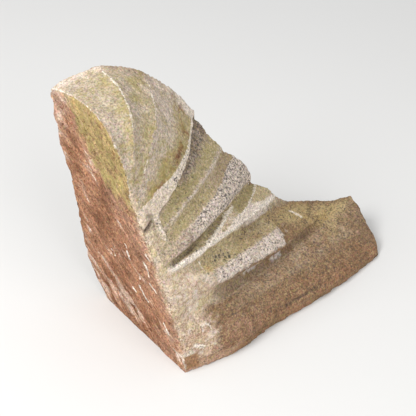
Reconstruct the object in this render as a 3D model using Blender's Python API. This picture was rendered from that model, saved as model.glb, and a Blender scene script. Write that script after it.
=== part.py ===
# Fragment of a carved stone corbel, one block, standing on its broad flat bed.
#
# The block has a flat side face on the left, a slanting back and a low foot to the right. Its carved
# face is a sheet of fold lines. Each line leaves the front left corner edge at its own height and ends
# on the back outline or on the broken right end, so the lines fan out like the flutes of a leaf.
# Between two lines the sheet sinks to a hollow, or swells to a band. The sheet's rim is then carried
# down to the floor, which makes the side, the back, the end and the low front lip.
#
# Metres, +Z up, +X to the right along the front, +Y into the depth. The origin is at the middle of
# the underside of the bounding box.

import math
from collections import namedtuple

import bmesh
import bpy
import numpy as np

# Driving dimensions of the block
LENGTH = 0.460         # front lower edge, from the side face to the broken right end
DEPTH = 0.265          # side face, front corner to back, at the floor
HEIGHT = 0.432         # floor to the top of the back outline

# Slopes of the three plain faces
SIDE_LEAN = -0.060     # the side face leans out to the left by this much of its height
BACK_LEAN = 0.070      # the back leans out by this much of its height
BACK_SLANT = -0.340    # the back runs forward by this much of the length towards the right

# Front left corner edge, which sweeps back as it rises
CORNER_SWEEP = 0.194   # how far it has swept back at full height
CORNER_CURVE = 1.55    # above one, so it starts upright and leans back later

# Relief
LEAF_HOLLOW = 0.006    # shallow flutes of the leaf
RIM_DROP = 0.022       # step from the leaf's raised rim into the hollow beside it
FOLD_HOLLOW = 0.014    # hollow under the band
SOFT_HOLLOW = 0.007    # hollows beside the soft crest and the upper crest
DEEP_HOLLOW = 0.015    # the hollow above the lowest fold
RISER_HOLLOW = 0.008   # cove under the lowest fold
BAND_SWELL = 0.005     # swell of the flat bands
BELLY_SWELL = 0.007    # swell of the plain lower front
LOWER_SWELL = 0.004    # and of the strip below it, down to the lip
SHORT_CREST = 0.007    # height of the short crest in the hollow under the band

# Toe: the front's low left part stands forward of the rest
TOE_BULGE = 0.013
TOE_LENGTH = 0.185     # from the corner edge
TOE_HEIGHT = 0.100     # where it has faded out

# Mesh
COLUMNS = 28           # along each fold line
WALL_LEVELS = 5        # from the sheet's rim to the floor
MERGE = 0.00005
SMALLEST = 1e-12       # length below which a normal is left as it is
SHARP_ANGLE = math.radians(38)

# A fold line. Lengths are shares of the block: x of LENGTH, y of DEPTH, z of HEIGHT.
#   start   height on the corner edge
#   end     x, y, z where the line ends; y is None on the back face
#   leave   handle of the curve at its start, x, y, z from the start
#   arrive  handle of the curve at its end, x, y, z from the end
# The strip between a line and the next one:
#   rows    faces across the strip
#   depth   how far it sinks, in metres, below zero where it swells
#   lean    where the deepest row lies, 0 at this line, 1 at the next
#   fade    share of the line's length over which the hollow deepens from the corner edge
#   out     share of the depth that is left at the outline, below zero where it turns over
Fold = namedtuple("Fold", "name start end leave arrive rows depth lean fade out")

FOLDS = (
    Fold("side edge", .683, (-.053, None, .940), (.000, -.010, .243), (.000, -.547, .143),
         6, LEAF_HOLLOW, .50, .45, -.5),
    Fold("first flute", .676, (.098, None, .998), (.033, .004, .280), (.015, -.434, .005),
         5, LEAF_HOLLOW, .50, .45, -.8),
    Fold("second flute", .667, (.254, None, .938), (.130, .079, .234), (-.078, -.415, -.051),
         6, LEAF_HOLLOW, .60, .40, -1.),
    Fold("rim, inner edge", .650, (.404, None, .750), (.174, .026, .046), (-.085, -.283, -.058),
         2, 0.0, .50, .40, .5),
    Fold("rim, outer edge", .569, (.417, None, .727), (.220, .140, .081), (-.174, -.377, -.042),
         8, RIM_DROP, .20, .50, .35),
    Fold("soft crest", .523, (.513, None, .537), (.259, .155, .067), (-.230, -.336, .044),
         4, SOFT_HOLLOW, .45, .50, .5),
    Fold("band, upper edge", .475, (.552, None, .486), (.274, .125, .037), (-.233, -.325, .019),
         4, -BAND_SWELL, .60, .40, 1.6),
    Fold("band, lower edge", .440, (.620, None, .345), (.243, .053, .019), (-.196, -.223, .116),
         6, FOLD_HOLLOW, .25, .35, .6),
    Fold("upper crest", .431, (.633, None, .324), (.241, .019, -.023), (-.165, -.309, .042),
         3, SOFT_HOLLOW, .45, .80, -.6),
    Fold("main crest", .417, (.709, None, .245), (.270, .030, .002), (-.215, -.215, .097),
         7, DEEP_HOLLOW, .42, .35, .4),
    Fold("lowest fold", .366, (.852, None, .171), (.296, -.038, -.058), (-.274, -.181, .065),
         3, -BAND_SWELL, .70, .40, -.4),
    Fold("lowest fold, underside", .296, (.954, None, .155), (.335, .023, -.021), (-.313, -.242, -.002),
         4, RISER_HOLLOW, .45, .35, 0.),
    Fold("foot of the riser", .231, (1.017, None, .152), (.352, .060, -.062), (-.324, -.150, -.030),
         5, -BELLY_SWELL, .50, .30, .5),
    Fold("belly", .144, (1.002, .178, .060), (.320, .010, .002), (-.348, -.130, .026),
         4, -LOWER_SWELL, .45, .30, .6),
    Fold("front lip", .051, (.978, .034, .016), (.261, -.035, .000), (-.261, -.088, .035),
         0, 0.0, .50, .40, 1.),
)

# The short crest: a low ridge in the hollow under the band
CREST_FOLD = "band, lower edge"
CREST_SPAN = (.33, .74)          # from and to, along the line
CREST_PLACE = (1.0, .36)         # across the strip, at its two ends
CREST_BEND = .66                 # how strongly it bows towards the band between its ends
CREST_WIDTH = .16                # across the strip

# Breaks: the stone beyond a plane is gone. Points are shares of the block, normals point outwards.
Break = namedtuple("Break", "point normal")
REAR_FOOT_CORNER = Break((0.0, .860, 0.0), (.027, .810, -.585))
RIGHT_END_FACET = Break((.985, .340, .146), (.248, -.630, .735))
FACET_FROM = .65       # the facet starts at this share of the length
FACET_BLEND = .10      # and is complete this much further right
FACET_LOW = .055       # it ends at the lip, at this share of the height
FACET_RISE = .060      # and is complete this much higher

STONE = {"colour": (.42, .36, .24, 1.0), "roughness": .93}


def clear_scene():
    for item in list(bpy.data.objects):
        bpy.data.objects.remove(item, do_unlink=True)


def back_y(x, z):
    """Depth of the back face at a place along the length and a height."""
    return DEPTH + BACK_SLANT * x + BACK_LEAN * z


def corner_point(height):
    """Point of the front left corner edge at a height."""
    sweep = CORNER_SWEEP * (height / HEIGHT) ** CORNER_CURVE
    return np.array((SIDE_LEAN * height, sweep, height))


def end_point(end):
    """End of a fold line, on the back face where it states no depth."""
    x = end[0] * LENGTH
    z = end[2] * HEIGHT
    y = back_y(x, z) if end[1] is None else end[1] * DEPTH
    return np.array((x, y, z))


def fold_line(fold, along):
    """Points of a fold line, a cubic curve from the corner edge to its end."""
    block = np.array((LENGTH, DEPTH, HEIGHT))
    start = corner_point(fold.start * HEIGHT)
    end = end_point(fold.end)
    near = start + np.array(fold.leave) * block
    far = end + np.array(fold.arrive) * block
    t = along[:, None]
    rest = 1.0 - t
    return rest**3 * start + 3 * t * rest**2 * near + 3 * t**2 * rest * far + t**3 * end


def scallop(across, lean):
    """Depth across a strip: none at both lines, full at the lean, with a round bottom."""
    before = np.sin(.5 * math.pi * np.minimum(across / lean, 1.0))
    after = np.sin(.5 * math.pi * np.minimum((1.0 - across) / (1.0 - lean), 1.0))
    return np.where(across < lean, before, after)


def smooth_step(value):
    value = np.clip(value, 0.0, 1.0)
    return value * value * (3.0 - 2.0 * value)


def short_crest(across, along):
    """Height of the short crest over its strip."""
    first, last = CREST_SPAN
    run = (along - first) / (last - first)
    centre = CREST_PLACE[0] + (CREST_PLACE[1] - CREST_PLACE[0]) * run
    centre -= CREST_BEND * run * (1.0 - run)
    ridge = np.exp(-((across - centre) / CREST_WIDTH) ** 2)
    return SHORT_CREST * ridge * np.sin(math.pi * np.clip(run, 0.0, 1.0))


def break_plane(broken):
    """Point and unit normal of a break, in metres."""
    normal = np.array(broken.normal)
    point = np.array(broken.point) * np.array((LENGTH, DEPTH, HEIGHT))
    return point, normal / np.linalg.norm(normal)


def wear_facet(sheet):
    """Bring the points that stand proud of the right end's facet down onto it."""
    point, normal = break_plane(RIGHT_END_FACET)
    proud = np.maximum((sheet - point) @ normal, 0.0)
    local = smooth_step((sheet[:, :, 0] / LENGTH - FACET_FROM) / FACET_BLEND)
    local *= smooth_step((sheet[:, :, 2] / HEIGHT - FACET_LOW) / FACET_RISE)
    return sheet - normal * (proud * local)[:, :, None]


def push_toe(sheet):
    """Bring the low left part of the front forward."""
    along = np.clip(sheet[:, :, 0] / TOE_LENGTH, 0.0, 1.0)
    low = smooth_step(1.0 - sheet[:, :, 2] / TOE_HEIGHT)
    pushed = sheet.copy()
    pushed[:, :, 1] -= TOE_BULGE * np.sin(math.pi * along) ** 2 * low
    return pushed


def carved_sheet():
    """Grid of points of the carved face, one row for each line across, one column along them."""
    along = np.linspace(0.0, 1.0, COLUMNS)
    lines = [fold_line(fold, along) for fold in FOLDS]
    lines[0][:, 0] = SIDE_LEAN * lines[0][:, 2]
    rows = []
    sink = []
    for fold, line, following in zip(FOLDS, lines, lines[1:]):
        deepen = smooth_step(along / fold.fade) * (1.0 - (1.0 - fold.out) * along**3)
        for step in range(fold.rows):
            across = step / fold.rows
            rows.append(line + (following - line) * across)
            depth = fold.depth * scallop(across, fold.lean) * deepen
            if fold.name == CREST_FOLD:
                depth = depth - short_crest(across, along)
            sink.append(depth)
    rows.append(lines[-1])
    sink.append(np.zeros(COLUMNS))
    sheet = np.array(rows)
    down_rows = np.gradient(sheet, axis=0)
    down_columns = np.gradient(sheet, axis=1)
    normal = np.cross(down_rows, down_columns)
    normal /= np.maximum(np.linalg.norm(normal, axis=2, keepdims=True), SMALLEST)
    return push_toe(wear_facet(sheet - normal * np.array(sink)[:, :, None]))


def floor_point(point):
    """Where a point of the sheet's rim meets the floor, down the leaning faces."""
    x, y, z = point
    floor_x = x - SIDE_LEAN * z * (1.0 - max(x, 0.0) / LENGTH)
    floor_y = y * back_y(floor_x, 0.0) / back_y(x, z)
    return np.array((floor_x, floor_y, 0.0))


def block_mesh():
    """Closed block: the carved sheet, its rim carried down to the floor, and the flat bed."""
    sheet = carved_sheet()
    mesh = bmesh.new()
    grid = [[mesh.verts.new(point) for point in row] for row in sheet]
    for upper, lower in zip(grid, grid[1:]):
        for k in range(COLUMNS - 1):
            mesh.faces.new((upper[k], lower[k], lower[k + 1], upper[k + 1]))

    rim = [row[0] for row in grid[::-1]]
    rim += grid[0][1:]
    rim += [row[-1] for row in grid[1:]]
    rim += grid[-1][-2:0:-1]
    ring = rim
    for level in range(1, WALL_LEVELS + 1):
        share = level / WALL_LEVELS
        lower_ring = []
        for vert in rim:
            top = np.array(vert.co)
            lower_ring.append(mesh.verts.new(top + (floor_point(top) - top) * share))
        for k, vert in enumerate(ring):
            after = (k + 1) % len(ring)
            mesh.faces.new((vert, ring[after], lower_ring[after], lower_ring[k]))
        ring = lower_ring
    mesh.faces.new(ring)
    bmesh.ops.remove_doubles(mesh, verts=mesh.verts, dist=MERGE)
    return mesh


def break_off(mesh, broken):
    """Cut the block by a plane, drop what lies outside it and close the cut."""
    point, normal = break_plane(broken)
    everything = mesh.verts[:] + mesh.edges[:] + mesh.faces[:]
    cut = bmesh.ops.bisect_plane(mesh, geom=everything, dist=MERGE, plane_co=point,
                                 plane_no=normal, clear_outer=True)
    edges = [item for item in cut["geom_cut"] if isinstance(item, bmesh.types.BMEdge)]
    bmesh.ops.holes_fill(mesh, edges=edges)


def stone_material():
    material = bpy.data.materials.new("weathered sandstone")
    material.use_nodes = True
    shader = material.node_tree.nodes["Principled BSDF"]
    shader.inputs["Base Color"].default_value = STONE["colour"]
    shader.inputs["Roughness"].default_value = STONE["roughness"]
    shader.inputs["Metallic"].default_value = 0.0
    return material


def centre_on_floor(mesh):
    """Shift the block so that the origin is at the middle of its bounding box's underside."""
    points = np.array([vert.co for vert in mesh.verts])
    low = points.min(axis=0)
    high = points.max(axis=0)
    middle = (low + high) / 2.0
    bmesh.ops.translate(mesh, verts=mesh.verts, vec=(-middle[0], -middle[1], -low[2]))


def make_corbel():
    mesh = block_mesh()
    break_off(mesh, REAR_FOOT_CORNER)
    centre_on_floor(mesh)
    bmesh.ops.triangulate(mesh, faces=mesh.faces)
    bmesh.ops.recalc_face_normals(mesh, faces=mesh.faces)
    data = bpy.data.meshes.new("corbel")
    mesh.to_mesh(data)
    mesh.free()
    data.shade_smooth()
    data.set_sharp_from_angle(angle=SHARP_ANGLE)
    data.materials.append(stone_material())
    corbel = bpy.data.objects.new("corbel", data)
    bpy.context.scene.collection.objects.link(corbel)
    return corbel


clear_scene()
make_corbel()
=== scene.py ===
import math

import bmesh
import bpy
import numpy as np
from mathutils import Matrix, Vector


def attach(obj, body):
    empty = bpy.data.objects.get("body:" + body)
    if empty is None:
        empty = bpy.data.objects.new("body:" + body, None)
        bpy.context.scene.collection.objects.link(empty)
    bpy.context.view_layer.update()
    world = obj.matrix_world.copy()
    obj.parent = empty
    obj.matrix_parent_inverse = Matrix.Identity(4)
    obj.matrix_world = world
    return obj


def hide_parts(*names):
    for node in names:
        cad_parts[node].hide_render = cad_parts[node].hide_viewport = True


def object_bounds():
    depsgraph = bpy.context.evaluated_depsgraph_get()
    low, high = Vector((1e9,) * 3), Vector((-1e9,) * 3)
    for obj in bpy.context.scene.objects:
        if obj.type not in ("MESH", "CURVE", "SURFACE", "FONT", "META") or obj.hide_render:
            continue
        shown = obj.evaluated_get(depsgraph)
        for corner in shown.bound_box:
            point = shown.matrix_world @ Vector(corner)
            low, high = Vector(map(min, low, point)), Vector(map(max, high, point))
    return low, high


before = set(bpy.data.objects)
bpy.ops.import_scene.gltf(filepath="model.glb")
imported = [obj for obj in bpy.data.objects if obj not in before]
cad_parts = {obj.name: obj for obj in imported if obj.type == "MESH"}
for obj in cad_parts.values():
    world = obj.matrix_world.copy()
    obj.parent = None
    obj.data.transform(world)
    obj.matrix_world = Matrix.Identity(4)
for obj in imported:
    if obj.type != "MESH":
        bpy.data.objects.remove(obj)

cadLow, cadHigh = [np.array(corner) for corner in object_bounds()]
print("frame loaded, box", cadLow.round(4), cadHigh.round(4))

# the block itself, metres, as the solid has it
block = {
    "length": .460,
    "depth": .265,
    "height": .432,
    "sideLean": -.060,      # of the height, to the left
    "backLean": .070,       # of the height, to the back
    "backSlant": -.340,     # of the length, forward
    "cornerSweep": .194,    # how far back the corner edge is at full height
    "cornerCurve": 1.55,    # the power of the height by which it sweeps back
    "toeBulge": .013,
    "toeLength": .185,
    "toeHeight": .100,
}
blockSize = np.array((block["length"], block["depth"], block["height"]))

# depths of the hollows and heights of the swells between the fold lines
leafHollow, rimDrop, foldHollow = .006, .022, .014
softHollow, deepHollow, riserHollow = .007, .015, .008
bandSwell, bellySwell, lowerSwell = .005, .007, .004

# a fold line: height on the corner edge, end point, handle at its start, handle at its end, as shares
# of the block (an end depth of None lies on the back face), then the strip up to the next line:
# rows, depth in metres, place of the deepest row, fade-in, share of the depth left at the outline
folds = [
    (.683, (-.053, None, .940), (.000, -.010, .243), (.000, -.547, .143), 24, leafHollow, .50, .45, -.5),
    (.676, (.098, None, .998), (.033, .004, .280), (.015, -.434, .005), 24, leafHollow, .50, .45, -.8),
    (.667, (.254, None, .938), (.130, .079, .234), (-.078, -.415, -.051), 26, leafHollow, .60, .40, -1.),
    (.650, (.404, None, .750), (.174, .026, .046), (-.085, -.283, -.058), 10, .0, .50, .40, .5),
    (.569, (.417, None, .727), (.220, .140, .081), (-.174, -.377, -.042), 30, rimDrop, .20, .50, .35),
    (.523, (.513, None, .537), (.259, .155, .067), (-.230, -.336, .044), 16, softHollow, .45, .5, .5),
    (.475, (.552, None, .486), (.274, .125, .037), (-.233, -.325, .019), 18, -bandSwell, .60, .40, 1.6),
    (.440, (.620, None, .345), (.243, .053, .019), (-.196, -.223, .116), 22, foldHollow, .25, .35, .6),
    (.431, (.633, None, .324), (.241, .019, -.023), (-.165, -.309, .042), 12, softHollow, .45, .8, -.6),
    (.417, (.709, None, .245), (.270, .030, .002), (-.215, -.215, .097), 26, deepHollow, .42, .35, .4),
    (.366, (.852, None, .171), (.296, -.038, -.058), (-.274, -.181, .065), 14, -bandSwell, .70, .40, -.4),
    (.296, (.954, None, .155), (.335, .023, -.021), (-.313, -.242, -.002), 14, riserHollow, .45, .35, .0),
    (.231, (1.017, None, .152), (.352, .060, -.062), (-.324, -.150, -.030), 20, -bellySwell, .50, .30, .5),
    (.144, (1.002, .178, .060), (.320, .010, .002), (-.348, -.130, .026), 18, -lowerSwell, .45, .3, .6),
    (.051, (.978, .034, .016), (.261, -.035, .000), (-.261, -.088, .035), 0, .0, .50, .40, 1.),
]
foldNames = ["sideEdge", "fluteOne", "fluteTwo", "rimInner", "rimOuter", "softCrest", "bandTop", "bandLow",
             "upperCrest", "mainCrest", "lowFold", "lowFoldUnder", "riserFoot", "belly", "lip"]
lineOf = {name: k for k, name in enumerate(foldNames)}

# the short crest in the hollow under the band
shortCrest = {
    "height": .007,
    "width": .16,                           # share of the strip's width
    "from": .33, "to": .74,                 # shares of the fold line's length
    "placeAtFrom": 1., "placeAtTo": .36,    # across the strip, 0 at the line above, 1 at the line below
    "bend": .66,                            # how strongly it bows towards the band between its ends
}

# the facet of the broken right end; its point is a share of the block
facet = {
    "point": (.985, .340, .146), "normal": (.248, -.630, .735),
    "from": .65, "blend": .10,              # shares of the length
    "low": .055, "rise": .060,              # shares of the height
}

# the broken foot of the side face's rear corner
rearChip = {"point": (0., .860, 0.), "normal": (.027, .810, -.585)}

meshing = {
    "columns": 170,                         # points along each fold line
    "levels": 36,                           # rings down the walls
    "voxel": .0026,
    "smooth": 2,
    "merge": .00005,
}


def rise(value, low=0., high=1.):  # zero below low, one above high, an S curve between
    t = np.clip((value - low) / (high - low), 0, 1)
    return t * t * (3 - 2 * t)


def fade(value, low, high):  # the reverse, one below low, zero above high
    return 1 - rise(value, low, high)


def bell(value, centre, width):  # a bump of height one around the centre
    return np.exp(-((value - centre) / width) ** 2)


def backY(x, z):  # depth of the back face
    return block["depth"] + block["backSlant"] * x + block["backLean"] * z


def foldLine(fold, t):
    # cubic curve from the corner edge to the outline: the two ends and the two handles, weighted by
    # (1-t)^3, 3t(1-t)^2, 3t^2(1-t), t^3
    height = fold[0] * block["height"]
    sweep = block["cornerSweep"] * fold[0] ** block["cornerCurve"]
    start = np.array((block["sideLean"] * height, sweep, height))
    x, z = fold[1][0] * block["length"], fold[1][2] * block["height"]
    y = backY(x, z) if fold[1][1] is None else fold[1][1] * block["depth"]
    end = np.array((x, y, z))
    near = start + np.array(fold[2]) * blockSize
    far = end + np.array(fold[3]) * blockSize
    t = t[:, None]
    s = 1 - t
    return s**3 * start + 3 * t * s**2 * near + 3 * t**2 * s * far + t**3 * end


def scallop(across, lean):  # two quarter sine waves that meet at the deepest place
    before = np.sin(.5 * math.pi * np.minimum(across / lean, 1))
    after = np.sin(.5 * math.pi * np.minimum((1 - across) / (1 - lean), 1))
    return np.where(across < lean, before, after)


def shortCrestPlace(along):  # share of its length, and where it lies across the strip
    run = (along - shortCrest["from"]) / (shortCrest["to"] - shortCrest["from"])
    first, last = shortCrest["placeAtFrom"], shortCrest["placeAtTo"]
    return run, first + (last - first) * run - shortCrest["bend"] * run * (1 - run)


def shortCrestHeight(across, along):  # a bell across the strip times a half sine wave along it
    run, place = shortCrestPlace(along)
    hump = bell(across, place, shortCrest["width"])
    return shortCrest["height"] * hump * np.sin(math.pi * np.clip(run, 0, 1))


def carvedSheet(along):
    # rows blend from one fold line to the next, then sink along the normal by the strip's scallop
    lines = [foldLine(fold, along) for fold in folds]
    lines[0][:, 0] = block["sideLean"] * lines[0][:, 2]
    points, sinks, strips, widths = [], [], [], []
    for k, fold in enumerate(folds[:-1]):
        across = (np.arange(fold[4]) / fold[4])[:, None]
        width = np.linalg.norm(lines[k + 1] - lines[k], axis=1)[None]
        deepen = rise(along / fold[7]) * (1 - (1 - fold[8]) * along**3)
        sink = fold[5] * scallop(across, fold[6]) * deepen[None]
        if foldNames[k] == "bandLow":
            sink = sink - shortCrestHeight(across, along[None])
        points.append(lines[k][None] + (lines[k + 1] - lines[k])[None] * across[:, :, None])
        sinks.append(sink)
        strips.append(np.broadcast_to(k + across, sink.shape))
        widths.append(np.broadcast_to(width, sink.shape))
    points.append(lines[-1][None])
    sinks.append(np.zeros((1, len(along))))
    strips.append(np.full((1, len(along)), len(folds) - 1.))
    widths.append(widths[-1][-1:])
    points, sinks, strips, widths = [np.concatenate(part) for part in (points, sinks, strips, widths)]
    normal = np.cross(np.gradient(points, axis=0), np.gradient(points, axis=1))
    normal /= np.maximum(np.linalg.norm(normal, axis=2, keepdims=True), 1e-12)
    points = points - normal * sinks[:, :, None]
    # the facet on the right end, and the toe
    faceNormal = np.array(facet["normal"]) / np.linalg.norm(facet["normal"])
    proud = np.maximum((points - np.array(facet["point"]) * blockSize) @ faceNormal, 0)
    local = rise((points[:, :, 0] / block["length"] - facet["from"]) / facet["blend"])
    local = local * rise((points[:, :, 2] / block["height"] - facet["low"]) / facet["rise"])
    points = points - faceNormal * (proud * local)[:, :, None]
    low = rise(1 - points[:, :, 2] / block["toeHeight"])
    ahead = np.sin(math.pi * np.clip(points[:, :, 0] / block["toeLength"], 0, 1)) ** 2
    points[:, :, 1] -= block["toeBulge"] * ahead * low
    return points, sinks, strips, widths


def rimOf(grid):  # the sheet's outer ring: corner edge up, side edge, outline, lip
    return np.concatenate((grid[::-1, 0], grid[0, 1:], grid[1:, -1], grid[-1, -2:0:-1]))


def storeColour(mesh, name, rgba):
    layer = mesh.color_attributes.new(name, "FLOAT_COLOR", "POINT")
    layer.data.foreach_set("color", rgba.astype(np.float32).ravel())
    return layer


def blockMesh():
    along = np.linspace(0, 1, meshing["columns"])
    points, sinks, strips, widths = carvedSheet(along)
    rows, columns = strips.shape
    number = np.arange(rows * columns).reshape(rows, columns)
    quads = np.stack((number[:-1, :-1], number[1:, :-1], number[1:, 1:], number[:-1, 1:]), axis=-1)
    places = np.broadcast_to(along, strips.shape)
    # walls: each rim point runs straight down to its place on the floor
    rim, rimNumber = rimOf(points), rimOf(number)
    x, y, z = rim.T
    floorX = x - block["sideLean"] * z * (1 - np.maximum(x, 0) / block["length"])
    foot = np.stack((floorX, y * backY(floorX, 0) / backY(x, z), 0 * z), axis=-1)
    share = (np.arange(1, meshing["levels"] + 1) / meshing["levels"])[:, None, None]
    walls = rim[None] + (foot - rim)[None] * share
    wallNumber = rows * columns + np.arange(walls.shape[0] * walls.shape[1]).reshape(walls.shape[:2])
    ring = np.vstack((rimNumber[None], wallNumber))
    after = np.roll(ring, -1, axis=1)
    wallQuads = np.stack((ring[:-1], after[:-1], after[1:], ring[1:]), axis=-1)
    allPoints = np.concatenate((points.reshape(-1, 3), walls.reshape(-1, 3)))
    faces = quads.reshape(-1, 4).tolist() + wallQuads.reshape(-1, 4).tolist() + [ring[-1].tolist()]
    # what is known of each point: strip, place along it, how far down a wall (0 on the sheet), strip width
    wallDrop = np.linalg.norm(rim - foot, axis=1)[None] * share[:, :, 0]
    sheetKnown = np.stack((strips, places, 0 * strips, widths), axis=-1).reshape(-1, 4)
    above = [np.broadcast_to(rimOf(grid), wallDrop.shape) for grid in (strips, places, widths)]
    wallKnown = np.stack((above[0], above[1], wallDrop, above[2]), axis=-1)
    known = np.concatenate((sheetKnown, wallKnown.reshape(-1, 4)))
    mesh = bpy.data.meshes.new("blockSource")
    mesh.from_pydata(allPoints.tolist(), [], faces)
    mesh.color_attributes.active_color = storeColour(mesh, "known", known)
    return mesh


def breakOff(mesh, chip):  # cut by a plane, drop the outside, close the cut
    work = bmesh.new()
    work.from_mesh(mesh)
    everything = work.verts[:] + work.edges[:] + work.faces[:]
    cut = bmesh.ops.bisect_plane(work, geom=everything, dist=meshing["merge"], clear_outer=True,
                                 plane_co=np.array(chip["point"]) * blockSize, plane_no=chip["normal"])
    edges = [item for item in cut["geom_cut"] if isinstance(item, bmesh.types.BMEdge)]
    bmesh.ops.holes_fill(work, edges=edges)
    bmesh.ops.remove_doubles(work, verts=work.verts, dist=meshing["merge"])
    bmesh.ops.triangulate(work, faces=[face for face in work.faces if len(face.verts) > 4])
    bmesh.ops.recalc_face_normals(work, faces=work.faces)
    work.to_mesh(mesh)
    work.free()


def addObject(name, data):
    item = bpy.data.objects.new(name, data)
    bpy.context.scene.collection.objects.link(item)
    return item


def newMaterial(name, roughness):
    material = bpy.data.materials.new(name)
    material.use_nodes = True
    shader = material.node_tree.nodes["Principled BSDF"]
    shader.inputs["Roughness"].default_value = roughness
    return material, shader


def readAll(items, name, count=3):  # that many numbers of each item
    numbers = np.empty(len(items) * count)
    items.foreach_get(name, numbers)
    return numbers.reshape(-1, count)


def writePoints(mesh, points):
    mesh.vertices.foreach_set("co", points.astype(np.float32).ravel())
    mesh.update()


def evenStone():
    # the block as one skin of even small faces, with what is known carried over from the source
    source = addObject("blockSource", blockMesh())
    breakOff(source.data, rearChip)
    points = readAll(source.data.vertices, "co")
    shift = (points.min(axis=0) + points.max(axis=0)) / 2
    shift[2] = points[:, 2].min()
    writePoints(source.data, points - shift)
    stone = addObject("weatheredStone", source.data.copy())
    remesh = stone.modifiers.new("even skin", "REMESH")
    remesh.mode = "VOXEL"
    remesh.voxel_size = meshing["voxel"]
    soften = stone.modifiers.new("worn", "SMOOTH")
    soften.factor = .5
    soften.iterations = meshing["smooth"]
    bpy.context.view_layer.objects.active = stone
    bpy.ops.object.modifier_apply(modifier=remesh.name)
    stone.data.color_attributes.new("known", "FLOAT_COLOR", "POINT")
    carry = stone.modifiers.new("carry", "DATA_TRANSFER")
    carry.object = source
    carry.use_vert_data = True
    carry.data_types_verts = {"COLOR_VERTEX"}
    carry.vert_mapping = "POLYINTERP_NEAREST"
    carry.layers_vcol_vert_select_src = "ALL"
    carry.layers_vcol_vert_select_dst = "NAME"
    bpy.ops.object.modifier_move_to_index(modifier=carry.name, index=0)
    bpy.ops.object.modifier_apply(modifier=carry.name)
    bpy.ops.object.modifier_apply(modifier=soften.name)
    known = readAll(stone.data.color_attributes["known"].data, "color", 4)
    stone.data.color_attributes.remove(stone.data.color_attributes["known"])
    bpy.data.objects.remove(source, do_unlink=True)
    return stone, known, shift


stone, known, shift = evenStone()
print("stone skin", len(stone.data.vertices), "points")


def latticeNoise(points, cell, seed):
    # random numbers on a cubic lattice of that cell, blended by an S curve in each direction, -1 to 1
    side, offset = 64, 100.5  # the offset keeps the lattice clear of the origin
    table = np.random.RandomState(seed).uniform(-1, 1, (side, side, side))
    scaled = points / cell + offset
    base = np.floor(scaled).astype(int)
    part = scaled - base
    part = part * part * (3 - 2 * part)
    total = np.zeros(len(points))
    for i in (0, 1):
        for j in (0, 1):
            for k in (0, 1):
                x, y, z = ((base + (i, j, k)) % side).T
                weight = np.abs(1 - i - part[:, 0]) * np.abs(1 - j - part[:, 1]) * np.abs(1 - k - part[:, 2])
                total += weight * table[x, y, z]
    return total


def roughNoise(points, cell, seed, octaves=3):  # each octave is half as large and half as strong
    return sum(latticeNoise(points, cell / 2**k, seed + k) / 2**k for k in range(octaves))


# where each point of the skin is: in the block's own frame, between which fold lines (strip), how far
# along them from the corner edge (0) to the outline (1), and how far down a wall
points = readAll(stone.data.vertices, "co")
normals = readAll(stone.data.vertex_normals, "vector")
place = points + shift
atX, atY, atZ = place.T
strip, along, drop, width = known.T
onSheet = fade(drop, .001, .004)  # the carved sheet, not the plain walls
sideGap = np.abs(atX - block["sideLean"] * atZ)
onSide = (1 - onSheet) * fade(sideGap, .003, .006)
onRest = (1 - onSheet) * (1 - onSide)
share = np.clip(atZ / block["height"], 0, 1)
# distances from the front left corner edge and from the side face's rear arris
cornerGap = np.hypot(sideGap, atY - block["cornerSweep"] * share ** block["cornerCurve"])
backGap = np.hypot(sideGap, atY - backY(atX, atZ))

# noises of 30, 12 and 5 mm that the shape and the colours share
slow = roughNoise(place, .030, 101)
patch = roughNoise(place, .012, 111)
fine = roughNoise(place, .005, 121, 2)

# the bounds between strips wander a little
stripWander = .07
strip = np.clip(strip + stripWander * patch * onSheet, 0, len(folds) - 1.001)
across = strip - np.floor(strip)
lineBefore = np.floor(strip).astype(int)


def fromStroke(start, end):  # distance from the straight line between two places
    way = np.array(end) - start
    share = np.clip((place - start) @ way / (way @ way), 0, 1)
    return np.linalg.norm(place - start - way * share[:, None], axis=1)


def distanceTo(name):  # from a fold line, through its carved points
    row = sum(fold[4] for fold in folds[:lineOf[name]])
    linePoints = 61
    line = carvedSheet(np.linspace(0, 1, linePoints))[0][row]
    nearest = np.full(len(place), np.inf)
    wander = .0010 * patch + .0006 * fine
    for start, end in zip(line, line[1:]):
        nearest = np.minimum(nearest, fromStroke(start, end))
    return np.maximum(nearest + wander, 0)


def span(value, low, high, edge):  # one between low and high, with soft ends
    return rise(value, low - edge, low + edge) * fade(value, high - edge, high + edge)


def past(name):  # how many strips a point lies past a fold line
    return strip - lineOf[name]


def inStrip(name, low=-1., high=2., edge=.12):  # one in a strip, between two shares of its width
    return np.where(lineBefore == lineOf[name], span(across, low, high, edge), 0) * onSheet


def fromSpot(centre):  # distance from a place
    return np.linalg.norm(place - centre, axis=1)


def spot(centre, size):  # a round soft spot, a bell of the distance
    return bell(fromSpot(centre), 0, size)


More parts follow.
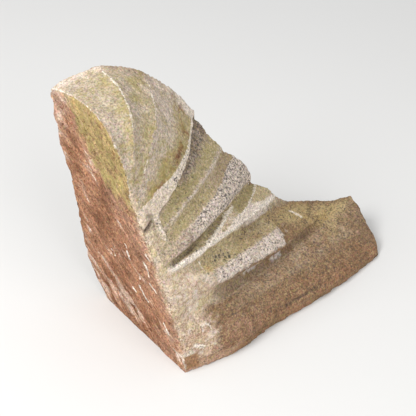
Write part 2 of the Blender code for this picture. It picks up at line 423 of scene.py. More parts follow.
# small marks: ends, width, height in metres (below zero for a pit) and how pale (below zero for dark)
marks = {
    "forkRidge": (((.022, .096, .262), (.021, .094, .250)), .0040, .0040, .9),
    "forkRidgeMiddle": (((.021, .094, .250), (.022, .082, .232)), .0040, .0040, .9),
    "forkRidgeEnd": (((.022, .082, .232), (.025, .078, .222)), .0040, .0030, .8),
    "forkPit": (((-.004, .086, .251), (.011, .091, .258)), .0038, -.0060, -.95),
    "rimSpot": (((.006, .095, .269), (.011, .096, .265)), .0038, -.0020, -.8),
    "bandCrevice": (((.026, .060, .185), (.069, .075, .181)), .0042, -.003, -.75),
    "bandCreviceUp": (((.069, .075, .181), (.109, .093, .180)), .0032, -.0025, -.6),
    "footNotch": (((.390, .132, .074), (.362, .104, .076)), .0038, -.0035, -.55),
    "lipCrack": (((.215, -.002, .027), (.300, -.004, .026)), .0032, -.0035, -.8),
    "endCorner": (((.450, .009, .000), (.450, .009, .018)), .0130, -.0042, 0.),
    "lipCrackLeft": (((.070, -.006, .033), (.110, -.007, .030)), .0022, -.002, -.7),
}

# pale crests on the fold lines: half the width in metres, from and to as shares of the length, strength
crestLines = [
    ("sideEdge", .0024, .05, 1.2, 1.), ("fluteOne", .0021, .48, .98, 1.),
    ("fluteOne", .0018, .12, .55, .75), ("fluteTwo", .0019, .15, .96, .72),
    ("rimInner", .0020, .10, 1.2, .9), ("rimOuter", .0045, .0, .16, .9),
    ("softCrest", .0018, .30, 1.2, .55), ("upperCrest", .0024, .48, 1.2, 1.),
    ("mainCrest", .0036, .08, 1.2, 1.), ("mainCrest", .0056, .06, .50, 1.),
]

# white strokes on the front: ends and half the width
whiteStrokes = [
    ((.044, .012, .072), (.043, .009, .064), .0024), ((.050, .013, .074), (.057, .011, .070), .0024),
    ((.057, .011, .070), (.058, .008, .062), .0018), ((.022, .006, .048), (.036, .001, .040), .0042),
    ((.331, .126, .088), (.343, .108, .083), .0034), ((.077, .064, .156), (.078, .055, .149), .0030),
]

# lichen spots in the deep hollow, and fresh fractures under the lowest fold
lichenSpots = [(.111, .064, .140), (.117, .070, .141), (.126, .070, .138),
               (.132, .076, .140), (.135, .072, .136), (.144, .071, .133),
               (.136, .066, .133), (.143, .065, .131), (.128, .061, .134)]
fractures = [(.163, .050, .095), (.174, .052, .093), (.186, .053, .092),
             (.233, .060, .078), (.243, .062, .076), (.252, .063, .074)]

# rust stains and dark specks beside the leaf's rim, pink spots on the broken end, ochre in the hollow
rustStains = [(.098, .142, .310), (.104, .146, .312), (.092, .136, .306)]
rimSpecks = [(.080, .124, .293), (.076, .120, .289), (.083, .123, .288)]
pinkSpots = [(.430, .051, .037), (.427, .083, .057)]
ochreSpot = (.088, .053, .142)

# white scratches on the side face, as depth and height of their ends
scratches = [
    ((.080, .211), (.074, .200)), ((.088, .190), (.080, .182)), ((.080, .182), (.080, .162)),
    ((.079, .147), (.065, .140)), ((.108, .139), (.107, .137)), ((.131, .100), (.126, .094)),
    ((.184, .147), (.178, .137)), ((.027, .128), (.022, .104)), ((.140, .190), (.128, .165)),
    ((.110, .120), (.092, .095)), ((.050, .080), (.040, .060)),
]

# weathering of the shape in metres, and the size of each noise's cell: slow waves, lumps, grain, pits
# and layers of the side face, chipped arrises, the broken fold, the rough back, worn arrises
weathering = {
    "wave": .0013, "waveCell": .045,
    "lump": .0010, "lumpCell": .016,
    "grain": .0006, "grainCell": .0062,
    "sidePit": .0022, "sidePitCell": .0085,
    "layer": .0011, "layerCell": .009,
    "chip": .0028, "chipCell": .013,
    "ledgeChip": .0030, "ledgeChipCell": .011,
    "foldBreak": .0035,
    "backRough": .0035, "backCell": .038,
    "cornerWear": .0050,
    "rearWear": .0007,
    "rearSwell": .0042,
}

# the side face is layered; the layers rise towards the back by about a third of a right angle
dip = math.radians(33)
alongDip = atY * math.cos(dip) + atZ * math.sin(dip)
acrossDip = atZ * math.cos(dip) - atY * math.sin(dip)
streaked = np.stack((alongDip * .20, acrossDip, atX), axis=-1)
streak = roughNoise(streaked, .0075, 141)
wideStreak = roughNoise(streaked, .022, 151)


def weatherShape():
    w = weathering
    move = roughNoise(place, w["waveCell"], 11) * w["wave"]
    move += roughNoise(place, w["lumpCell"], 21) * w["lump"]
    move += roughNoise(place, w["grainCell"], 31, 2) * w["grain"]
    # pits and layers of the side face
    move -= rise(roughNoise(place, w["sidePitCell"], 41), .35, .9) * w["sidePit"] * onSide
    move += roughNoise(streaked, w["layerCell"], 71) * w["layer"] * onSide
    # chipped and worn arrises
    edge = fade(np.minimum(np.where(onSide > .5, drop, 1), distanceTo("sideEdge") * 2), .002, .012)
    move -= rise(latticeNoise(place, w["chipCell"], 51), .15, .8) * w["chip"] * edge
    corner = fade(cornerGap, 0, .016) * fade(atZ, .27, .30)
    move -= corner * rise(atZ, .015, .06) * w["cornerWear"] * (.65 + .5 * slow + .4 * patch)
    rearArris = fade(backGap, 0, .014) * (1 - onSheet)
    rearArris = rearArris * fade(atZ, .34, .39)
    move -= rearArris * w["rearWear"] * (.6 + .5 * slow + .25 * patch)
    # the side's rear arris swells a little below its top
    swell = fade(backGap, 0, .045) * (1 - onSheet) * span(atZ, .27, .40, .035)
    move += swell * w["rearSwell"]
    # the lowest fold breaks off towards the right, with a blocky edge
    broken = rise(along + .05 * slow + .035 * patch, .64, .69)
    broken = broken * span(past("lowFold"), -.05, 1.9, .12)
    move -= broken * fade(along, .80, .95) * w["foldBreak"] * onSheet
    ledge = fade(distanceTo("lowFoldUnder"), .003, .011)
    move -= rise(roughNoise(place, w["ledgeChipCell"], 81), 0, .8) * w["ledgeChip"] * ledge
    for ends, size, height, _ in marks.values():
        move += height * bell(fromStroke(*ends), 0, size)
    # back, end and bed
    move += roughNoise(place, w["backCell"], 61, 4) * w["backRough"] * onRest
    return move


def moveSkin(amount):  # along the normals, inside the solid's box
    bedHeight, inside = .0006, .0002
    moved = points + normals * amount[:, None]
    bed = points[:, 2] < bedHeight  # the bed stays flat
    moved[bed, 2] = 0
    moved = np.minimum(np.maximum(moved, cadLow + (inside, inside, 0)), cadHigh - inside)
    writePoints(stone.data, moved)


moveSkin(weatherShape())
print("shape weathered,", len(stone.data.polygons), "faces")

# colours by name, red, green and blue
colours = {
    "sandstone": (.50, .395, .285),
    "olive": (.40, .320, .155),
    "brown": (.232, .140, .080),
    "dirtAndShade": (.135, .095, .070),
    "pale": (.76, .65, .55),
    "greyBand": (.57, .47, .40),
    "cream": (.63, .485, .350),
    "lemon": (.64, .53, .29),
    "straw": (.47, .38, .215),
    "earth": (.215, .110, .062),
    "fresh": (.60, .535, .50),
    "ash": (.42, .345, .255),
    "soot": (.085, .078, .072),
    "chipOchre": (.31, .165, .080),
    "rust": (.180, .070, .035),
    "terracotta": (.395, .195, .113),
    "darkEarth": (.185, .075, .036),
    "pinkish": (.55, .35, .25),
    "sideAlgae": (.46, .345, .150),
    "ochre": (.44, .29, .100),
}


# tone and the amounts that the material reads; each layer of paint covers the ones before it by its
# amount, from 0 to 1, where spans along the fold lines, spans across a strip and noises overlap
class Paint:
    def __init__(self):
        self.tone = np.tile(np.array(colours["sandstone"]), (len(place), 1))
        self.crest = np.zeros(len(place))
        self.specks = np.full(len(place), .08)
        self.green = np.full(len(place), .22)
        self.ochre = np.full(len(place), .15)
        self.grain = np.full(len(place), .85)
        self.scribble = np.zeros(len(place))

    def lay(self, name, amount):
        amount = np.clip(amount, 0, 1)[:, None]
        self.tone = self.tone * (1 - amount) + np.array(colours[name]) * amount

    def raiseCrest(self, amount):
        self.crest = np.maximum(self.crest, amount)


def paintCrests(paint):
    # pale lines on the fold lines and on the short crest, and the white strokes
    for name, reach, low, high, strength in crestLines:
        paint.raiseCrest((1 - distanceTo(name) / (2 * reach)) * span(along, low, high, .06) * strength)
    window = span(along, .33, .70, .02) * inStrip("bandLow")
    paint.raiseCrest((1.05 - np.abs(across - shortCrestPlace(along)[1]) * width / .0075) * window)
    for start, end, half in whiteStrokes:
        paint.raiseCrest(1.1 - fromStroke(start, end) / (1.6 * half))


def paintLeaf(paint):
    # the leaf: greyish, mottled with olive, rusty beside its rim, pale and pinkish at its top corner
    leaf = rise(.05 - past("rimInner"), 0, .1) * onSheet
    mottle = roughNoise(place, .017, 201, 4)
    paint.green = np.where(leaf > .5, .20 + .35 * mottle, paint.green)
    paint.lay("greyBand", leaf * (.35 + .35 * patch))
    paint.lay("olive", leaf * rise(mottle + .5 * fine, -.1, 1.) * .58)
    paint.lay("pale", leaf * rise(-mottle, .2, 1) * .30)
    paint.lay("ash", leaf * rise(-past("fluteTwo"), 0, .8) * rise(along, .2, .6) * .48)
    for name, low, high in (("sideEdge", .25, .95), ("fluteOne", .05, .80), ("fluteTwo", .05, .80)):
        beside = inStrip(name, .66, 2, .3) * span(along, low, high, .12)
        paint.lay("olive", beside * (.50 + .4 * patch))
        paint.green += beside * (.20 + .2 * fine)
    paint.lay("olive", inStrip("fluteOne", .25, .85, .2) * span(along, .30, .95, .1) * (.30 + .3 * mottle))
    paint.lay("greyBand", inStrip("fluteTwo", -1, .22, .1) * span(along, .15, .92, .1) * .55)
    ochreEdge = inStrip("fluteTwo", .62, 2, .15) * span(along, .10, .95, .06)
    paint.lay("pale", inStrip("fluteTwo", .2, .6, .15) * span(along, .25, .8, .1) * .22)
    paint.lay("olive", ochreEdge * .55)
    paint.lay("ochre", ochreEdge * rise(patch, -.2, .8) * .40)
    stain = inStrip("fluteTwo", .84, 2, .07) * span(along, .22, .97, .05)
    paint.lay("rust", stain * rise(patch + .6 * fine, .0, .7) * .70)
    for centre in rustStains:
        paint.lay("rust", spot(centre, .0050) * .95)
    rimOfLeaf = rise(along + .03 * patch, .925, .975)
    cornerOfLeaf = leaf * rimOfLeaf * rise(.2 - past("fluteOne"), 0, .25)
    paint.lay("pale", cornerOfLeaf * .75)
    paint.lay("pinkish", cornerOfLeaf * rise(fine, -.2, .6) * .6)
    rusty = span(past("sideEdge"), .75, .95, .06) * rise(fine, .0, .5)
    paint.lay("rust", leaf * rimOfLeaf * rusty * .7)
    paint.lay("brown", leaf * rimOfLeaf * span(past("fluteOne"), .2, 1.1, .2) * .35)
    # the rim: pale, wide below and narrow above, with dark specks half way up
    rim = inStrip("rimInner")
    paint.lay("pale", rim * .9)
    paint.lay("cream", rim * fade(along, .1, .4) * .35)
    rimTop = span(past("fluteTwo"), .84, 2., .06) * onSheet * rise(along, .86, .93)
    paint.lay("pale", rimTop * .95)
    rimTip = span(past("fluteTwo"), .62, 1.1, .06) * onSheet * rise(along + .03 * patch, .90, .93)
    paint.lay("pale", rimTip * .9)
    besideRim = span(past("fluteTwo"), .50, .80, .06) * onSheet * span(along, .86, .95, .03)
    paint.lay("rust", besideRim * rise(patch + fine, -.4, .6) * .65)
    paint.specks += rim * span(along, .42, .68, .08) * .45
    paint.lay("cream", leaf * fade(along + .02 * patch, .045, .085) * .9)
    for centre in rimSpecks:
        paint.specks += .9 * spot(centre, .0055)


def paintFolds(paint):
    # first hollow: grey and speckled beside the rim above, with painted shade under the rim's drop that is
    # darkest along its foot, green beside the soft crest
    folded = span(past("rimOuter"), .05, 4., .1) * onSheet
    paint.grain += .15 * folded
    paint.specks += folded * (.18 + .25 * patch)
    grey = inStrip("rimOuter", -1, .55, .15) * rise(along, .35, .7)
    # the hollow under the rim's drop is darkened with painted shade, with grey stone laid over it
    paint.lay("brown", grey * .30)
    paint.lay("dirtAndShade", grey * .55)
    paint.lay("greyBand", grey * rise(patch + fine, -.5, 1) * .55)
    # painted shadow along the foot of the rim's drop
    paint.lay("dirtAndShade", inStrip("rimOuter", -1, .20, .1) * span(along, .12, 1.2, .1) * .55)
    paint.specks += grey * .65
    start = .22 + .30 * rise(along, .35, .65)
    greenBand = inStrip("rimOuter") * rise(across, start, start + .22) * rise(along, .10, .2)
    greenBand = greenBand * rise(1 - across, 0, .15)
    paint.lay("straw", greenBand * (.75 + .25 * patch))
    paint.green += greenBand * .35
    # soft crest and the shallow hollow after it
    soft = fade(distanceTo("softCrest"), .001, .007) * span(along, .15, 1.2, .1)
    paint.lay("greyBand", soft * .8)
    paint.lay("brown", inStrip("softCrest", .3, 2) * rise(along, .6, .85) * .45)
    paint.lay("olive", inStrip("softCrest", .2, .9) * span(along, .12, .65, .1) * .55)
    paint.green += inStrip("softCrest") * .2
    # band: pale grey, thick with black specks, pinkish and darker at its lower left
    band = inStrip("bandTop") * rise(along, .10, .22)
    paint.lay("greyBand", band * .9)
    paint.lay("pale", band * rise(along, .32, .42) * (.45 + .3 * patch))
    paint.lay("brown", band * fade(along + .02 * patch, .26, .32) * (.40 + .2 * fine))
    paint.specks += band * rise(along, .25, .4) * (.55 + .15 * rise(along, .45, .7) + .25 * patch)
    paint.green *= 1 - .8 * band
    # crevice under the band with painted shadow in its deepest part under the band's edge, then olive stone
    # and two bright crests
    underBand = inStrip("bandLow")
    deepest = fade(across, .22, .42 - .2 * rise(along, .1, .4))
    paint.lay("straw", inStrip("bandLow", .10, 2) * span(along, .14, 1.3, .06) * (.75 + .2 * patch))
    # painted shadow under the band's overhanging edge
    paint.lay("dirtAndShade", underBand * deepest * span(along, .08, 1.2, .05) * (.55 + .2 * fine))
    paint.green += underBand * .15
    paint.specks += underBand * .20
    centre = shortCrestPlace(along)[1]
    beyondFill = underBand * rise(across, .22, .45) * span(along, .64, .99, .05)
    paint.lay("straw", beyondFill * .7)
    paint.green += beyondFill * .15
    paint.specks *= 1 - .6 * beyondFill
    fill = rise(across, centre - .05, centre + .08) * span(along, .34, .66, .04) * underBand
    paint.lay("cream", fill * .95)
    paint.lay("pale", fill * rise(patch, -.3, .4) * .7)
    paint.specks *= 1 - .8 * fill
    underCrest = inStrip("upperCrest")
    paint.lay("pale", underCrest * span(along, .12, .80, .05) * .95)
    paint.lay("straw", inStrip("upperCrest", -1, .80) * rise(along, .78, .86) * .8)
    reach = .0050 + .0075 * rise(along, .48, .66) - .008 * rise(along, .80, .90) + .002 * patch
    gap = distanceTo("mainCrest")
    broad = fade(gap, reach, reach + .0025) * span(along, .05, .97, .03) * onSheet
    paint.lay("pale", broad * .97)
    paint.green *= 1 - .8 * np.maximum(broad, underCrest)
    broad = broad * span(along, .60, .90, .05)
    paint.specks += np.maximum(broad, underCrest * span(along, .60, .8, .05)) * (.18 + .30 * patch)
    # deep hollow above the lowest fold: olive and ochre, with a cluster of black lichen
    deep = inStrip("mainCrest", .12, .95, .08) * span(along, .22, .84, .05) * (1 - broad)
    paint.lay("straw", deep * (.75 + .3 * patch))
    paint.lay("brown", deep * span(along, .48, .90, .08) * (.45 + .4 * patch))
    paint.lay("dirtAndShade", inStrip("mainCrest", .16, .6, .15) * span(along, .55, 1.1, .12) * (.40 + .25 * patch))
    paint.green += deep * .15
    paint.ochre += deep * .40
    paint.grain += deep * .15
    paint.specks += deep * (.34 + .3 * patch)
    paint.lay("ochre", spot(ochreSpot, .009) * .6)
    for centre in lichenSpots:
        apart = fromSpot(centre) + .0008 * fine
        paint.specks += 1.2 * fade(apart, .0022, .0052)
        paint.lay("soot", fade(apart, .0016, .0034) * .85)


def paintLower(paint):
    # lowest fold: a pale speckled band that breaks off, a riser under it darkened with painted shade
    breakAt = .72 - .10 * rise(past("lowFold"), -.1, 1)
    end = fade(along + .03 * patch + .02 * fine, breakAt, breakAt + .02)
    fold = inStrip("lowFold", -1, 1.05 + .15 * fine)
    fold = np.maximum(fold, inStrip("mainCrest", .93 + .05 * patch, 2, .06))
    fold = fold * rise(along + .06 * patch + .04 * slow, .10, .28) * end
    paint.lay("greyBand", fold)
    paint.lay("pale", fold * rise(patch, -.4, .5) * .6)
    paint.specks += fold * .5
    paint.green *= 1 - .7 * fold
    beyond = span(past("lowFold"), -.1, 2.1, .1) * (1 - end) * onSheet
    riser = inStrip("lowFoldUnder") * rise(along + .04 * patch, .14, .30)
    under = inStrip("lowFold", .86, 2, .08) * rise(along + .02 * patch, .26, .34)
    paint.lay("brown", np.maximum(np.maximum(beyond, riser), under))
    paint.lay("sandstone", riser * rise(patch + .5 * slow, -.6, .9) * .55)
    # painted shade on the riser under the ledge: darkest in the crease above the belly, and darker across
    # its middle
    paint.lay("dirtAndShade", inStrip("lowFoldUnder", .35, 2, .2) * span(along, .22, .86, .08) * (.42 + .15 * patch))
    paint.lay("earth", inStrip("lowFoldUnder", .2, .9, .2) * span(along, .30, .66, .07) * .25)
    for centre in fractures:
        gap = fromSpot(centre) + .0022 * fine
        paint.lay("fresh", fade(gap, .0035, .0075) * .75)
    # plain lower front and the foot: brown, sprinkled with ochre
    lower = rise(past("riserFoot"), -.1, .15) * onSheet
    foot = rise(past("mainCrest"), .1, .6) * rise(along, .72, .82) * onSheet
    plainStone = np.maximum(lower, foot)
    paint.lay("brown", plainStone)
    paint.lay("sandstone", plainStone * rise(slow + .7 * patch, -.6, 1) * .13)
    paint.lay("earth", plainStone * (.14 + .40 * rise(roughNoise(place, .016, 211), .0, .9)))
    lichen = foot * span(past("mainCrest"), .4, 3.4, .4) * span(along, .78, .96, .05)
    paint.lay("olive", lichen * (.62 + .3 * slow))
    paint.lay("dirtAndShade", lichen * .12)
    paint.lay("ochre", lichen * rise(patch + fine, -.3, .8) * .4)
    # painted highlight on the upper part of the belly's swell, then painted shade on the part below it
    belly = span(past("riserFoot"), .05, .8, .15) * rise(along, .2, .35) * onSheet
    paint.lay("sandstone", belly * (.22 + .2 * patch))
    paint.lay("earth", span(past("belly"), .1, 1., .15) * onSheet * (.20 + .2 * slow))
    paint.green = np.where(plainStone > .5, .12, paint.green)
    paint.ochre += plainStone * (.22 + .2 * slow) + lichen * .55
    paint.specks += plainStone * .34
    paint.grain += plainStone * .15
    # painted shade: the broken end, turned away from the light, is painted darker over its brown stone
    endFace = rise(atX + .6 * atY, .440, .458) * onSheet
    endFace = endFace * rise(past("riserFoot"), .05, .25)
    paint.lay("brown", endFace * .65)
    paint.lay("dirtAndShade", endFace * .18)
    paint.ochre *= 1 - .6 * endFace
    for centre in pinkSpots:
        paint.lay("pinkish", spot(centre, .0040) * .6)
    lip = rise(past("belly"), .3, .8) * onSheet
    paint.lay("terracotta", lip * rise(patch + .5 * slow, -.5, .7) * .45)
    paint.lay("earth", lip * (.20 + .60 * rise(roughNoise(place * (1, 1, 2.5), .009, 221), .1, .8)))


def paintCorner(paint):
    # worn cream stone down the corner edge, wider below
    wide = .05 - .035 * span(past("rimOuter"), .2, 3.2, .3)
    wide = wide + .13 * rise(past("upperCrest"), 0, 2.8)
    wide = wide - .07 * rise(past("lowFoldUnder"), 0, 1.2)
    worn = fade(along + .025 * patch + .02 * slow, wide, wide + .06)
    worn = worn * rise(past("rimInner"), -.1, 1.2) * onSheet
    paint.lay("cream", worn * (.85 + .15 * patch))
    paint.lay("pale", worn * rise(slow + fine, -.1, .9) * .5)
    paint.lay("lemon", worn * rise(roughNoise(place, .022, 131), .10, .9) * .75)
    paint.lay("pale", worn * rise(roughNoise(place, .009, 241), .35, .9) * .7)
    paint.lay("terracotta", worn * rise(roughNoise(place * (1, 1, 2), .006, 161), .65, 1.1) * .5)
    foot = worn * rise(past("riserFoot") + .6 * slow, -.2, 1.2)
    paint.lay("pinkish", foot * (.38 + .4 * patch))
    paint.lay("cream", foot * .25)
    paint.lay("pale", foot * rise(-patch - fine, .4, 1.1) * .7)
    paint.scribble = np.maximum(paint.scribble, worn * (.75 + .25 * rise(past("lowFoldUnder"), 0, 2)))
    below = fade(along + .05 * slow, .22, .45) * onSheet
    below = below * rise(past("belly"), -.3, .2)
    paint.scribble = np.maximum(paint.scribble, below * .9)
    paint.lay("pinkish", below * (1 - worn) * (.14 + .3 * patch))
    paint.green *= 1 - .95 * worn
    paint.ochre *= 1 - .6 * worn
    paint.specks *= 1 - .85 * worn
    paint.grain -= .30 * worn
    haze = fade(cornerGap + .003 * patch, .000, .009) * onSheet
    haze = haze * rise(.14 - atZ, 0, .03)
    paint.lay("terracotta", haze * rise(fine + patch, -.6, .8) * .45)


def paintSide(paint):
    # terracotta, darker and paler along its layers, with algae under the side edge
    side = onSide
    paint.lay("terracotta", side)
    blotch = roughNoise(place * (1, .8, .6), .026, 191, 4)
    paint.lay("darkEarth", side * rise(blotch + .5 * streak, -.1, 1.) * .80)
    paint.lay("pinkish", side * rise(-streak - .7 * blotch + .4 * patch, .35, 1.2) * .75)
    paint.lay("pale", side * rise(-streak - .5 * blotch + .5 * fine, .9, 1.35) * .8)
    low = fade(atZ - .35 * atY, -.01, .07)
    paint.lay("pinkish", side * low * rise(-streak - .4 * wideStreak, -.2, .7) * .42)
    paint.lay("pale", side * low * rise(-wideStreak - .8 * streak, .4, 1.) * .35)
    # how far a point lies above the algae's lower bound, which climbs 1.2 to 1 towards the back
    line = (atZ - .284 - 1.2 * (atY - .158)) / 1.56
    algae = rise(line + .014 * slow + .012 * patch + .005 * streak, -.012, .012)
    algae = side * algae * rise(atZ + .012 * patch, .270, .296)
    paint.lay("pinkish", side * (1 - algae) * rise(line + .02 * slow, -.05, .01) * .30)
    paint.lay("sideAlgae", algae * (.80 + .25 * patch))
    hanging = roughNoise(place * (1, 1, .3), .006, 181)
    paint.lay("brown", algae * rise(hanging + .4 * fine, .0, 1.) * .80)
    paint.lay("pinkish", algae * rise(.5 * patch - hanging, .35, 1) * .6)
    top = side * rise(atY + .3 * atZ + .01 * patch, .365, .395)
    paint.lay("pinkish", top * .75)
    paint.lay("pale", top * rise(patch, .0, .6) * .4)
    bottom = side * fade(atY + .5 * atZ, .02, .11)
    paint.lay("pinkish", bottom * (.35 + .3 * fine))
    # cream stone comes round the corner edge with a ragged, rusty border
    ragged = cornerGap + .0035 * patch + .002 * fine
    wrap = .002 + .009 * span(atZ, .11, .27, .025)
    nearCorner = fade(atZ, .27, .30) * side
    paint.lay("pinkish", nearCorner * fade(ragged, wrap, wrap + .012) * .50)
    paint.lay("cream", nearCorner * fade(ragged, wrap - .0015, wrap + .002) * .9)
    scribbled = nearCorner * fade(ragged, wrap, wrap + .006) * .6
    paint.scribble = np.where(side > .5, scribbled, paint.scribble)
    for (y, z), (yEnd, zEnd) in scratches:
        gap = fromStroke((block["sideLean"] * z, y, z), (block["sideLean"] * zEnd, yEnd, zEnd))
        paint.raiseCrest(side * (1 - gap / (.0050 + .0014 * fine)))
    paint.green = np.where(side > .5, .02 + algae * (.45 + .3 * patch), paint.green)
    paint.specks = np.where(side > .5, .02 + .1 * rise(streak, 0, 1), paint.specks)
    paint.ochre = np.where(side > .5, .05, paint.ochre)


def paintRest(paint):  # back, end and bed, in keeping and plainer
    paint.lay("brown", onRest)
    paint.lay("sandstone", onRest * rise(slow, -.4, .8) * .6)
    paint.lay("dirtAndShade", onRest * rise(patch - slow, .2, 1.2) * .4)
    lipWall = onRest * rise(-normals[:, 1], .3, .7) * fade(atZ, .03, .05)
    paint.lay("brown", lipWall)
    paint.lay("terracotta", lipWall * rise(patch + .5 * slow, -.6, .7) * .5)
    paint.lay("pinkish", lipWall * fade(atX + .02 * patch, .06, .12) * .7)
    paint.crest *= 1 - onRest


def paintChip(paint):
    # an ochre chip at the foot of the corner, a box of soft bounds with a pale outline
    chip = np.maximum(np.abs(atX - .012) / .0130, np.abs(atZ - .020) / .0150)
    chip = np.where(atY < .03, chip, 9) + .12 * fine
    chipped = fade(chip, .92, 1.05)
    paint.lay("pale", span(chip, 1.02, 1.25, .06) * (atZ > .010) * (atX < .021) * .85)
    paint.lay("chipOchre", chipped * .9)
    left = onSide * fade(cornerGap, .002, .0055) * span(atZ, .008, .036, .004)
    paint.lay("pale", left * .9)
    paint.green *= 1 - chipped
    paint.ochre *= 1 - chipped


def paintStone():
    paint = Paint()
    for part in (paintCrests, paintLeaf, paintFolds, paintLower, paintCorner, paintSide, paintRest,
                 paintChip):
        part(paint)
    for ends, size, height, pale in marks.values():
        near = bell(fromStroke(*ends), 0, size * 1.1)
        paint.lay("pale" if pale > 0 else "dirtAndShade", near * abs(pale))
        if pale < 0:
            paint.crest *= 1 - near
    return paint


def storeValue(name, amount):
    layer = stone.data.attributes.new(name, "FLOAT", "POINT")
    layer.data.foreach_set("value", np.clip(amount, 0, 1).astype(np.float32))


painted = paintStone()
storeColour(stone.data, "stoneTone", np.hstack((painted.tone, np.ones((len(place), 1)))))
for name in ("crest", "specks", "green", "ochre", "grain", "scribble"):
    storeValue(name, getattr(painted, name))
storeValue("side", onSide)
print("stone painted")

# the finish: colours, noise scales per metre, and the bump
finish = {
    "roughness": .93, "specular": .2,
    "bump": .6, "bumpDepth": .0014,
    "crestColour": (.80, .71, .61, 1.), "crestEdge": 240,
    "fineGrain": 330, "coarseGrain": 150, "hue": 260,
    "layerScale": 120, "layerStretch": 3.2,
    "pitColour": (.45, .36, .32, 1.), "pitScale": 150,
    "scribbleColour": (.26, .145, .085, 1.), "scribbleScale": 75,
}

# algae, ochre lichen and black specks show where a noise and a stored amount add up: weight of the amount,
# scale, detail and roughness of the noise, the sums where it starts and is full, strength, colour
covers = {
    "green": (.32, 210, 3, .65, .58, .76, .55, (.36, .295, .10, 1.)),
    "ochre": (.18, 290, 3, .65, .62, .72, .60, (.56, .405, .205, 1.)),
    "specks": (.17, 270, 2, .60, .66, .75, .85, (.095, .082, .073, 1.)),
}


def sandstoneMaterial():
    material, shader = newMaterial("weatheredSandstone", finish["roughness"])
    nodes, links = material.node_tree.nodes, material.node_tree.links
    shader.inputs["Specular IOR Level"].default_value = finish["specular"]
    coords = nodes.new("ShaderNodeTexCoord").outputs["Object"]

    def read(name, output="Fac"):
        node = nodes.new("ShaderNodeAttribute")
        node.attribute_name = name
        return node.outputs[output]

    def noise(scale, detail=2., rough=.6, vector=None, output="Fac"):
        node = nodes.new("ShaderNodeTexNoise")
        node.inputs["Scale"].default_value = scale
        node.inputs["Detail"].default_value = detail
        node.inputs["Roughness"].default_value = rough
        links.new(vector or coords, node.inputs["Vector"])
        return node.outputs[output]

    def sums(operation, first, second=0.):
        node = nodes.new("ShaderNodeMath")
        node.operation = operation
        for socket, item in zip(node.inputs, (first, second)):
            if isinstance(item, (int, float)):
                socket.default_value = item
            else:
                links.new(item, socket)
        return node.outputs[0]

    def ramp(item, low, high, lowest=0., highest=1.):
        node = nodes.new("ShaderNodeMapRange")
        node.inputs["From Min"].default_value = low
        node.inputs["From Max"].default_value = high
        node.inputs["To Min"].default_value = lowest
        node.inputs["To Max"].default_value = highest
        links.new(item, node.inputs["Value"])
        return node.outputs["Result"]

    def mix(kind, factor, first, second):
        node = nodes.new("ShaderNodeMix")
        node.data_type = "RGBA"
        node.blend_type = kind
        for socket, item in zip((node.inputs[0], node.inputs[6], node.inputs[7]), (factor, first, second)):
            if isinstance(item, (int, float, tuple)):
                socket.default_value = item
            else:
                links.new(item, socket)
        return node.outputs[2]

    # long grain of the side face's layers
    turn = nodes.new("ShaderNodeMapping")
    turn.vector_type = "TEXTURE"
    turn.inputs["Rotation"].default_value = (dip, 0, 0)
    turn.inputs["Scale"].default_value = (1, finish["layerStretch"], 1)
    links.new(coords, turn.inputs["Vector"])
    layers = noise(finish["layerScale"], 4, .65, turn.outputs["Vector"])
    pits = noise(finish["pitScale"])
    side = read("side")

    tone = read("stoneTone", "Color")
    # crests: pale where the stored height passes a noisy threshold
    ragged = sums("MULTIPLY", sums("SUBTRACT", noise(finish["crestEdge"]), .5), .9)
    line = sums("ADD", read("crest"), ragged)
    tone = mix("MIX", ramp(line, .50, .66, 0., .88), tone, finish["crestColour"])
    # sand grains at two sizes, light and dark, and slightly different in hue
    coarse = ramp(noise(finish["coarseGrain"]), .25, .75, 0., .6)
    grain = sums("ADD", ramp(noise(finish["fineGrain"]), .30, .70), coarse)
    tone = mix("MULTIPLY", read("grain"), tone, ramp(grain, .25, 1.35, .50, 1.56))
    tone = mix("OVERLAY", .22, tone, noise(finish["hue"], 1, .5, output="Color"))
    # layers and dark pits of the side face
    streaks = mix("MULTIPLY", sums("MULTIPLY", side, .80), tone, ramp(layers, .34, .64, 1.40, .58))
    tone = mix("MULTIPLY", sums("MULTIPLY", side, ramp(pits, .56, .66)), streaks, finish["pitColour"])
    # algae, ochre lichen and black specks; the specks, which come last, are pits as well
    for name, (weight, scale, detail, rough, start, full, strength, colour) in covers.items():
        amount = sums("ADD", noise(scale, detail, rough), sums("MULTIPLY", read(name), weight))
        tone = mix("MIX", ramp(amount, start, full, 0., strength), tone, colour)
    relief = sums("SUBTRACT", grain, ramp(amount, start, full))
    # thin rusty scribbles where the stone is worn, along the bounds of a noise
    edge = sums("ABSOLUTE", sums("SUBTRACT", noise(finish["scribbleScale"], 4, .62), .5))
    scribble = sums("MULTIPLY", ramp(edge, .007, .034, .72, 0.), read("scribble"))
    tone = mix("MIX", scribble, tone, finish["scribbleColour"])
    links.new(tone, shader.inputs["Base Color"])
    bump = nodes.new("ShaderNodeBump")
    bump.inputs["Strength"].default_value = finish["bump"]
    bump.inputs["Distance"].default_value = finish["bumpDepth"]
    links.new(relief, bump.inputs["Height"])
    links.new(bump.outputs["Normal"], shader.inputs["Normal"])
    return material


stone.data.materials.append(sandstoneMaterial())
stone.data.shade_smooth()
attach(stone, "root")
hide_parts("corbel")

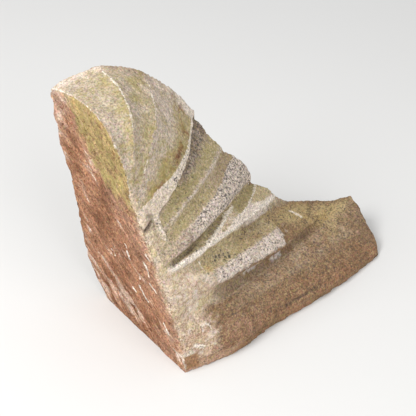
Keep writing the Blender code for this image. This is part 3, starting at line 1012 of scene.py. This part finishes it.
# the floor, the light and the camera
stage = {
    "floorReach": 6, "floorColour": (.72, .71, .69, 1), "floorRoughness": .8,
    "roomColour": (.95, .97, 1, 1), "roomStrength": .62,
    "lightAim": (0, 0, .2),
    "lights": {  # place, power and size
        "windowLight": ((-1.8, .2, 2.2), 60, 1.4),
        "roomLight": ((-.2, -2.2, 2.1), 26, 1.8),
    },
    "cameraPlace": (-.7744795, -1.03065868, 1.43226473),  # from the block's front left foot
    "cameraAlong": (.47691827, .59947732, -.64278761),
    "fieldOfView": 20,
}


def makeStage():
    reach = stage["floorReach"]
    corners = [(-reach, -reach, 0), (reach, -reach, 0), (reach, reach, 0), (-reach, reach, 0)]
    mesh = bpy.data.meshes.new("paleFloor")
    mesh.from_pydata(corners, [], [(0, 1, 2, 3)])
    floor = addObject("paleFloor", mesh)
    material, shader = newMaterial("paleFloor", stage["floorRoughness"])
    shader.inputs["Base Color"].default_value = stage["floorColour"]
    mesh.materials.append(material)


def addSoftLight(name, place, power, size):
    light = bpy.data.lights.new(name, "AREA")
    light.energy = power
    light.size = size
    lamp = addObject(name, light)
    lamp.location = place
    lamp.rotation_euler = (Vector(stage["lightAim"]) - Vector(place)).to_track_quat("-Z", "Y").to_euler()


def makeLight():
    world = bpy.data.worlds.new("softRoom")
    world.use_nodes = True
    background = world.node_tree.nodes["Background"]
    background.inputs["Color"].default_value = stage["roomColour"]
    background.inputs["Strength"].default_value = stage["roomStrength"]
    bpy.context.scene.world = world
    for name, (place, power, size) in stage["lights"].items():
        addSoftLight(name, place, power, size)
    bpy.context.scene.view_settings.view_transform = "Standard"


def makeCamera():
    data = bpy.data.cameras.new("photoCamera")
    data.sensor_fit = "HORIZONTAL"
    data.angle = math.radians(stage["fieldOfView"])
    camera = addObject("photoCamera", data)
    camera.location = Vector(stage["cameraPlace"]) - Vector(shift)
    camera.rotation_euler = Vector(stage["cameraAlong"]).to_track_quat("-Z", "Y").to_euler()
    bpy.context.scene.camera = camera


makeStage()
makeLight()
makeCamera()
